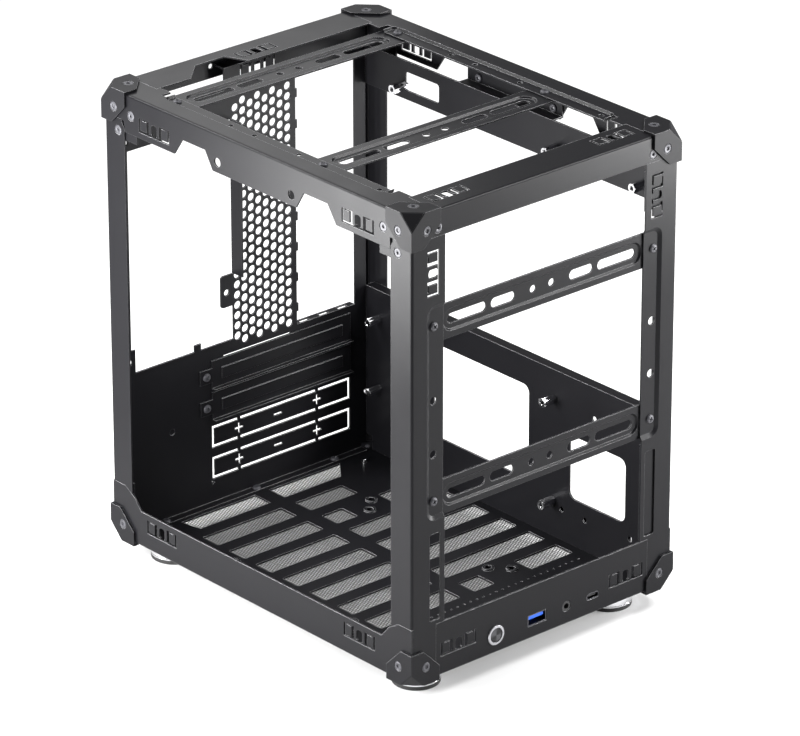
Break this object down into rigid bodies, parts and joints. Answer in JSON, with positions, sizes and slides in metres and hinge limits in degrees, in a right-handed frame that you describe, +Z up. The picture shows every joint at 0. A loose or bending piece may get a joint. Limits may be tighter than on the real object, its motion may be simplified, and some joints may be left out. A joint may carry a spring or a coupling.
{
  "type": "micro-atx computer case",
  "caption": "Open-frame black tower case with its panels off: folded sheet posts, rails and base on round feet, with board plates, drive bars, vents and front ports.",
  "frame": {"origin": "centre of the footprint, on the plane of the feet", "axes": "+Z up, -Y towards the front with the power button and ports, +X to the right seen from the front"},
  "size_m": [0.203, 0.268, 0.2991],
  "materials": {
    "black_sheet": "satin powder coat",
    "black_cap": "satin",
    "black_screw": "satin black",
    "filter_sheet": "fine mesh",
    "bright_metal": "bright nickel",
    "foot_rubber": "matt",
    "button_metal": "satin black",
    "port_metal": "satin",
    "blue_plastic": "satin",
    "black_plastic": "satin",
    "circuit_board": "solder mask"
  },
  "bodies": {
    "frame": {"base_tray": "black_sheet", "top_rail_left": "black_sheet", "top_rail_right": "black_sheet", "top_rail_front": "black_sheet", "top_rail_rear": "black_sheet", "post_front_left": "black_sheet", "post_front_right": "black_sheet", "post_rear_left": "black_sheet", "post_rear_right": "black_sheet", "bracket_front_left": "black_sheet", "bracket_front_right": "black_sheet", "bracket_rear_left": "black_sheet", "bracket_rear_right": "black_sheet", "crossbar_rear": "black_sheet", "crossbar_front": "black_sheet", "drive_bar_upper": "black_sheet", "drive_bar_lower": "black_sheet", "rear_panel": "black_sheet", "slot_cover_lower": "black_sheet", "slot_cover_upper": "black_sheet", "motherboard_tray": "black_sheet", "motherboard_band": "black_sheet", "cap_top_front_left": "black_cap", "cap_top_front_right": "black_cap", "cap_top_rear_left": "black_cap", "cap_top_rear_right": "black_cap", "cap_bottom_front_left": "black_cap", "cap_bottom_front_right": "black_cap", "cap_bottom_rear_left": "black_cap", "cap_bottom_rear_right": "black_cap", "bracket_rivets": "black_screw", "cap_screws": "black_screw", "bar_screws": "black_screw", "slot_cover_screws": "black_screw", "band_screws": "black_screw", "floor_screws": "black_screw", "dust_filter": "filter_sheet", "standoffs": "bright_metal", "foot_ring_front_left": "bright_metal", "foot_ring_front_right": "bright_metal", "foot_ring_rear_left": "bright_metal", "foot_ring_rear_right": "bright_metal", "foot_pad_front_left": "foot_rubber", "foot_pad_front_right": "foot_rubber", "foot_pad_rear_left": "foot_rubber", "foot_pad_rear_right": "foot_rubber", "foot_screws": "bright_metal", "power_button_housing": "bright_metal", "power_button_nut": "bright_metal", "usb_a_shell": "port_metal", "usb_a_tongue": "blue_plastic", "audio_jack": "black_plastic", "usb_c_shell": "port_metal", "usb_c_tongue": "black_plastic", "port_board": "circuit_board", "port_board_posts": "bright_metal", "port_board_screws": "bright_metal"},
    "button": {"power_button": "button_metal"}
  },
  "joints": [
    {"name": "power_button_press", "type": "slide", "parent": "frame", "child": "button", "axis": [0, 1, 0], "range_m": [0, 0.0012], "stiffness_N_per_m": 900, "springref_m": -0.0008}
  ]
}
